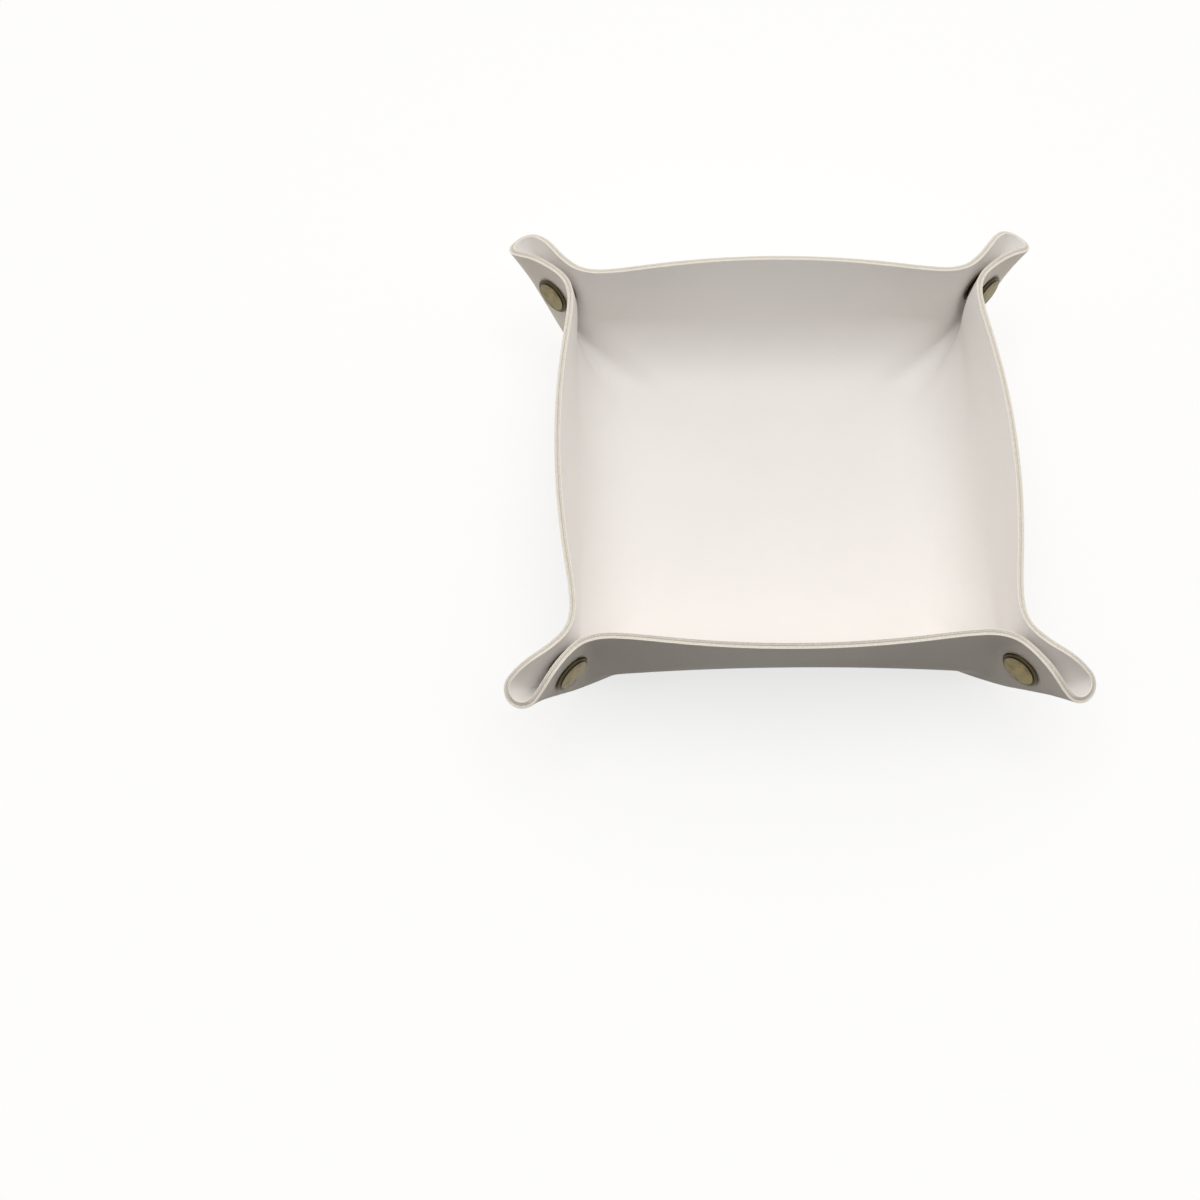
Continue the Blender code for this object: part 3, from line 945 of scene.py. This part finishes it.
def place_snap_piece(node, mesh, corner, body, away=1):
    """Put a snap piece on its corner's axis; away is 1 on the socket's wall and -1 on the stud's."""
    sx, sy = CORNERS[corner]
    direction = Vector((-sx, sy, 0)) * away
    obj = bpy.data.objects.new(node + "_metal", mesh)
    bpy.context.scene.collection.objects.link(obj)
    turn = math.atan2(direction.x, -direction.y)
    spin = Matrix.Rotation(turn, 4, "Z") @ Matrix.Rotation(math.pi / 2, 4, "X")
    obj.matrix_world = Matrix.Translation(snap_centre(corner)) @ spin
    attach(obj, body)
    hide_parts(node)


def leather_faces():
    """Distances from the plane between two pinched walls to their inner and outer leather faces."""
    sizes = bpy.context.scene.tray_sheet
    return sizes.pinch - sizes.thickness / 2, sizes.pinch + sizes.thickness / 2


# The rivet: the base that it holds, its flared lip, and the tube from the cap
BASE = 0.45 * MM
BASE_HOLE_R = 1.5 * MM
LIP_CLEAR = 0.07 * MM
LIP_THICK = 0.15 * MM
LIP_R = 1.7 * MM
TUBE_R = 1.3 * MM
TUBE_BORE_R = 1.0 * MM

# The cap: width of its rim, fall and steps of its domed disc, its shell and the hollow under it
CAP_STEP = 1.2 * MM
CAP_DOME = 0.16 * MM
DOME_STEPS = 4
CAP_SHELL = 0.35 * MM
CAP_HOLLOW = 0.60 * MM
STEP_PATINA_AND_SHADE = 0.34 * MM  # width of the dark ring round the disc: patina in the step, and painted shade of its groove
RIM_DARK_SHARE = 0.78  # share of that dark colour that stays on the rim, so the rim is darker than the disc


def cap_outline(snaps):
    """Cap with its rivet tube: a slightly domed disc, a dark step and a sloping rim."""
    inner, outer = leather_faces()
    face = outer + snaps.seat
    tip = inner - snaps.seat - BASE - LIP_CLEAR
    top = face + snaps.cap_height
    disc = snaps.cap_radius - CAP_STEP
    parts = [k / DOME_STEPS for k in range(DOME_STEPS + 1)]
    dome = [(disc * part, top - CAP_DOME * part**2) for part in parts]
    rim = [
        (disc + 0.16 * MM, top - 0.42 * MM),
        (disc + 0.30 * MM, top - 0.50 * MM),
        (snaps.cap_radius - 0.40 * MM, top - 0.52 * MM),
        (snaps.cap_radius, face + 0.42 * MM),
        (snaps.cap_radius - 0.30 * MM, face),
        (disc, face),
        (disc - 0.40 * MM, face + CAP_HOLLOW),
        (TUBE_R, face + CAP_HOLLOW),
        (TUBE_R, tip),
        (LIP_R, tip),
        (LIP_R, tip - LIP_THICK),
        (TUBE_BORE_R, tip - LIP_THICK),
        (TUBE_BORE_R, top - CAP_SHELL),
        (0.0, top - CAP_SHELL),
    ]
    return dome + rounded(rim[:-1], radius=0.07 * MM) + rim[-1:]


class TRAY_OT_caps(bpy.types.Operator):
    """Build the eight closed caps on the outside of the walls"""

    bl_idname = "tray.caps"
    bl_label = "Snap caps"

    def execute(self, context):
        colours, snaps = context.scene.tray_colours, context.scene.tray_snaps
        disc = snaps.cap_radius - CAP_STEP
        # The dark ring in the step round the disc is patina and painted shade of the groove; the rim
        # keeps a share of it.
        dark = (disc, disc + STEP_PATINA_AND_SHADE)
        brass = antique_brass("rubbed_brass_cap", colours.brass, colours.patina, dark, RIM_DARK_SHARE)
        cap = turned_mesh("snap_cap", cap_outline(snaps), brass)
        for corner in CORNERS:
            half = corner + "_socket_half"
            place_snap_piece(corner + "_socket_cap", cap, corner, half)
            place_snap_piece(corner + "_stud_cap", cap, corner, "tray", away=-1)
        return {"FINISHED"}


# The socket: its boss, the bore that takes the stud, the spring's groove and the mouth's height
SOCKET_BOSS_R = 4.2 * MM
SOCKET_BORE_R = 2.6 * MM
SOCKET_GROOVE_R = 3.3 * MM
SOCKET_MOUTH = -0.45 * MM


class TRAY_OT_sockets(bpy.types.Operator):
    """Build the four sockets on the inside of the front and back walls"""

    bl_idname = "tray.sockets"
    bl_label = "Sockets"

    def execute(self, context):
        colours, snaps = context.scene.tray_colours, context.scene.tray_snaps
        seat = leather_faces()[0] - snaps.seat
        groove = snaps.wire + 0.05 * MM
        outline = [
            (BASE_HOLE_R, seat),
            (snaps.flange_radius - 0.2 * MM, seat),
            (snaps.flange_radius, seat - 0.25 * MM),
            (snaps.flange_radius - 0.2 * MM, seat - 0.5 * MM),
            (SOCKET_BOSS_R + 0.3 * MM, seat - 0.6 * MM),
            (SOCKET_BOSS_R, SOCKET_MOUTH + 0.3 * MM),
            (SOCKET_BOSS_R - 0.3 * MM, SOCKET_MOUTH),
            (SOCKET_BORE_R + 0.3 * MM, SOCKET_MOUTH),
            (SOCKET_BORE_R, -groove),
            (SOCKET_GROOVE_R, -groove),
            (SOCKET_GROOVE_R, groove + 0.1 * MM),
            (SOCKET_BORE_R, groove + 0.1 * MM),
            (SOCKET_BORE_R, seat - BASE),
            (BASE_HOLE_R, seat - BASE),
        ]
        dark = (SOCKET_BOSS_R + 0.2 * MM, SOCKET_BOSS_R + 0.5 * MM)
        brass = antique_brass("dark_brass_socket", colours.hidden_brass, colours.patina, dark)
        socket = turned_mesh("snap_socket", rounded(outline, radius=0.12 * MM), brass)
        for corner in CORNERS:
            half = corner + "_socket_half"
            place_snap_piece(corner + "_socket", socket, corner, half)
        return {"FINISHED"}


# The stud's hollow head: its neck, its widest radius, its bore, its wall and its tip's height
HEAD_NECK_R = 2.1 * MM
HEAD_R = 2.45 * MM
HEAD_BORE_R = 1.85 * MM
HEAD_WALL = 0.27 * MM
STUD_TIP = 0.37 * MM


class TRAY_OT_studs(bpy.types.Operator):
    """Build the four studs on the inside of the left and right walls"""

    bl_idname = "tray.studs"
    bl_label = "Studs"

    def execute(self, context):
        colours, snaps = context.scene.tray_colours, context.scene.tray_snaps
        seat = snaps.seat - leather_faces()[0]
        edge = snaps.flange_radius - 0.5 * MM
        outline = [
            (BASE_HOLE_R, seat),
            (edge, seat),
            (edge + 0.2 * MM, seat + 0.2 * MM),
            (edge, seat + BASE),
            (HEAD_NECK_R + 0.2 * MM, seat + BASE),
            (HEAD_NECK_R, seat + BASE + 0.2 * MM),
            (HEAD_NECK_R, snaps.wire - 0.1 * MM),
            (HEAD_R, snaps.wire + 0.05 * MM),
            (HEAD_R - 0.1 * MM, STUD_TIP - 0.1 * MM),
            (HEAD_R - 0.4 * MM, STUD_TIP),
            (0.0, STUD_TIP),
            (0.0, STUD_TIP - HEAD_WALL),
            (HEAD_BORE_R, STUD_TIP - HEAD_WALL),
            (HEAD_BORE_R, seat + BASE),
            (BASE_HOLE_R, seat + BASE),
        ]
        dark = (HEAD_R + 0.1 * MM, HEAD_R + 0.5 * MM)
        brass = antique_brass("dark_brass_stud", colours.hidden_brass, colours.patina, dark)
        stud = turned_mesh("snap_stud", rounded(outline, radius=0.1 * MM), brass)
        for corner in CORNERS:
            place_snap_piece(corner + "_stud", stud, corner, "tray")
        return {"FINISHED"}


# The spring: the radius of its ring's middle line, the angle of its gap and the wire's sides
SPRING_R = 2.42 * MM
SPRING_GAP = math.radians(40)
WIRE_SIDES = 12


class TRAY_OT_springs(bpy.types.Operator):
    """Build the four split rings of spring wire in the sockets"""

    bl_idname = "tray.springs"
    bl_label = "Springs"

    def execute(self, context):
        colours, snaps = context.scene.tray_colours, context.scene.tray_snaps
        bm = bmesh.new()
        start = SPRING_GAP / 2
        for i in range(WIRE_SIDES):
            turn = math.tau * i / WIRE_SIDES
            r = SPRING_R + snaps.wire * math.cos(turn)
            bm.verts.new((r * math.cos(start), r * math.sin(start), snaps.wire * math.sin(turn)))
        section = bm.faces.new(bm.verts)
        bmesh.ops.spin(
            bm,
            geom=[section],
            cent=(0, 0, 0),
            axis=(0, 0, 1),
            angle=math.tau - SPRING_GAP,
            steps=snaps.segments,
            use_duplicate=False,
        )
        bmesh.ops.recalc_face_normals(bm, faces=bm.faces)
        mesh = bpy.data.meshes.new("snap_spring")
        bm.to_mesh(mesh)
        bm.free()
        mesh.materials.append(drawn_steel_wire("drawn_spring_wire", colours.steel))
        mesh.shade_smooth()
        mesh.set_sharp_from_angle(angle=WIRE_SHARP)
        for corner in CORNERS:
            half = corner + "_socket_half"
            place_snap_piece(corner + "_socket_spring", mesh, corner, half)
        return {"FINISHED"}


WHITE = rgba(linear("#FFFFFF"))


def seen_or_reflected(tree):
    """1 on rays that show a surface to the camera, directly or in gloss or glass, and else 0."""
    path = add_node(tree, "ShaderNodeLightPath")
    seen = path.outputs["Is Camera Ray"]
    for ray in ("Is Glossy Ray", "Is Transmission Ray"):
        either = add_node(
            tree, "ShaderNodeMath", {"operation": "MAXIMUM"}, {0: seen, 1: path.outputs[ray]}
        )
        seen = either.outputs[0]
    return seen


FLOOR_SIDE = 8.0
FLOOR_DROP = 0.33 * MM  # clears the sheet's underside, which dips by 0.32 mm beside the corners

# Places along Y between which the floor goes from shaded to lit
SHADED_TO = -0.07
LIT_FROM = 0.05


def pale_floor(stage):
    """A matt white floor. What it throws back at the tray fades towards the front.

    So it acts as a floor that is lit from behind, with the tray's own shadow before it.
    """
    material, tree, place = new_material("matt_white_floor")
    seen = seen_or_reflected(tree)
    split = add_node(tree, "ShaderNodeSeparateXYZ", links={0: place})
    behind = add_node(
        tree,
        "ShaderNodeMapRange",
        {"interpolation_type": "SMOOTHSTEP", "From Min": SHADED_TO, "From Max": LIT_FROM},
        {"Value": split.outputs["Y"]},
    )
    bounce = add_node(
        tree,
        "ShaderNodeMix",
        {"data_type": "RGBA", FIRST: rgba(stage.shaded_floor), SECOND: rgba(stage.lit_floor)},
        {FACTOR: behind.outputs["Result"]},
    )
    tone = add_node(
        tree,
        "ShaderNodeMix",
        {"data_type": "RGBA", SECOND: WHITE},
        {FACTOR: seen, FIRST: bounce.outputs[MIXED]},
    )
    shader = add_node(
        tree,
        "ShaderNodeBsdfPrincipled",
        {"Roughness": 0.9, "Specular IOR Level": 0.0},
        {"Base Color": tone.outputs[MIXED]},
    )
    # Where it is seen, plain white softens the tray's shadow.
    white = add_node(tree, "ShaderNodeEmission", {"Color": WHITE, "Strength": 1.0})
    glow = add_node(tree, "ShaderNodeMath", {"operation": "MULTIPLY", 1: stage.floor_glow}, {0: seen})
    surface = add_node(
        tree,
        "ShaderNodeMixShader",
        links={0: glow.outputs[0], 1: shader.outputs["BSDF"], 2: white.outputs["Emission"]},
    )
    add_node(tree, "ShaderNodeOutputMaterial", links={"Surface": surface.outputs["Shader"]})
    mesh = bpy.data.meshes.new("floor")
    half = FLOOR_SIDE / 2
    corners = ((-half, -half), (half, -half), (half, half), (-half, half))
    mesh.from_pydata([(x, y, -FLOOR_DROP) for x, y in corners], [], [(0, 1, 2, 3)])
    mesh.materials.append(material)
    floor = bpy.data.objects.new("floor", mesh)
    bpy.context.scene.collection.objects.link(floor)


def overhead_lamp(stage):
    """A round soft lamp straight above the tray."""
    lamp = bpy.data.lights.new("overhead_lamp", "AREA")
    lamp.shape = "DISK"
    lamp.size = stage.lamp_width
    lamp.energy = stage.lamp_power
    obj = bpy.data.objects.new("overhead_lamp", lamp)
    obj.location = (0.0, 0.0, stage.lamp_height)
    bpy.context.scene.collection.objects.link(obj)


# A direction's Y, from -1 in front to 1 at the back, between which the room goes dark to bright
DARK_TO = -0.75
BRIGHT_FROM = -0.15


def studio_light(stage):
    """The room's light: soft from the sides and the back, and dark in front.

    Rays that show the background see plain white.
    """
    world = bpy.data.worlds.new("studio")
    bpy.context.scene.world = world
    world.use_nodes = True
    tree = world.node_tree
    tree.nodes.clear()
    way = add_node(tree, "ShaderNodeTexCoord").outputs["Generated"]
    split = add_node(tree, "ShaderNodeSeparateXYZ", links={0: way})
    level = add_node(
        tree,
        "ShaderNodeMapRange",
        {
            "interpolation_type": "SMOOTHSTEP",
            "From Min": DARK_TO,
            "From Max": BRIGHT_FROM,
            "To Max": stage.room_light,
        },
        {"Value": split.outputs["Y"]},
    )
    lighting = add_node(
        tree,
        "ShaderNodeBackground",
        {"Color": rgba(stage.room_tint)},
        {"Strength": level.outputs["Result"]},
    )
    white = add_node(tree, "ShaderNodeBackground", {"Color": WHITE, "Strength": 1.0})
    sky = add_node(
        tree,
        "ShaderNodeMixShader",
        links={
            0: seen_or_reflected(tree),
            1: lighting.outputs["Background"],
            2: white.outputs["Background"],
        },
    )
    add_node(tree, "ShaderNodeOutputWorld", links={"Surface": sky.outputs["Shader"]})


SENSOR_WIDTH = 36.0


class TRAY_OT_stage(bpy.types.Operator):
    """Set the floor, the lamp, the room's light and the camera"""

    bl_idname = "tray.stage"
    bl_label = "Stage"

    def execute(self, context):
        scene, stage = context.scene, context.scene.tray_stage
        pale_floor(stage)
        overhead_lamp(stage)
        studio_light(stage)

        turn, rise = stage.azimuth, stage.elevation
        back = Vector(
            (math.sin(turn) * math.cos(rise), -math.cos(turn) * math.cos(rise), math.sin(rise))
        )
        right = Vector((math.cos(turn), math.sin(turn), 0))
        up = back.cross(right)
        rolled_right = right * math.cos(stage.roll) + up * math.sin(stage.roll)
        rolled_up = up * math.cos(stage.roll) - right * math.sin(stage.roll)
        camera = bpy.data.cameras.new("camera")
        camera.lens = stage.lens
        camera.sensor_width = SENSOR_WIDTH
        camera.clip_start, camera.clip_end = 0.01, 50.0
        obj = bpy.data.objects.new("camera", camera)
        turned = Matrix((rolled_right, rolled_up, back)).transposed().to_4x4()
        obj.matrix_world = Matrix.Translation(Vector(stage.target) + back * stage.distance) @ turned
        scene.collection.objects.link(obj)
        scene.camera = obj
        scene.view_settings.view_transform = "Standard"
        return {"FINISHED"}


class TRAY_PT_panel(bpy.types.Panel):
    """Steps of the tray, in order, with their sizes and colours"""

    bl_idname = "TRAY_PT_panel"
    bl_label = "Jewelry tray"
    bl_space_type = "VIEW_3D"
    bl_region_type = "UI"
    bl_category = "Tray"

    def draw(self, context):
        for step in STEPS:
            self.layout.operator(step.bl_idname)
        for holder in HOLDERS:
            group = getattr(context.scene, holder)
            box = self.layout.box()
            for name in group.__annotations__:
                box.prop(group, name)


STEPS = (
    TRAY_OT_stage,
    TRAY_OT_outer_leather,
    TRAY_OT_inner_leather,
    TRAY_OT_caps,
    TRAY_OT_sockets,
    TRAY_OT_studs,
    TRAY_OT_springs,
)
HOLDERS = {
    "tray_sheet": TraySheetSizes,
    "tray_snaps": TraySnapSizes,
    "tray_colours": TrayColours,
    "tray_stage": TrayStage,
}


def register():
    for holder, group in HOLDERS.items():
        bpy.utils.register_class(group)
        setattr(bpy.types.Scene, holder, PointerProperty(type=group))
    for step in STEPS:
        bpy.utils.register_class(step)
    bpy.utils.register_class(TRAY_PT_panel)


def unregister():
    bpy.utils.unregister_class(TRAY_PT_panel)
    for step in reversed(STEPS):
        bpy.utils.unregister_class(step)
    for holder, group in HOLDERS.items():
        delattr(bpy.types.Scene, holder)
        bpy.utils.unregister_class(group)


def main():
    register()
    bpy.ops.tray.stage()
    bpy.ops.tray.outer_leather()
    bpy.ops.tray.inner_leather()
    bpy.ops.tray.caps()
    bpy.ops.tray.sockets()
    bpy.ops.tray.studs()
    bpy.ops.tray.springs()


if __name__ == "__main__":
    main()
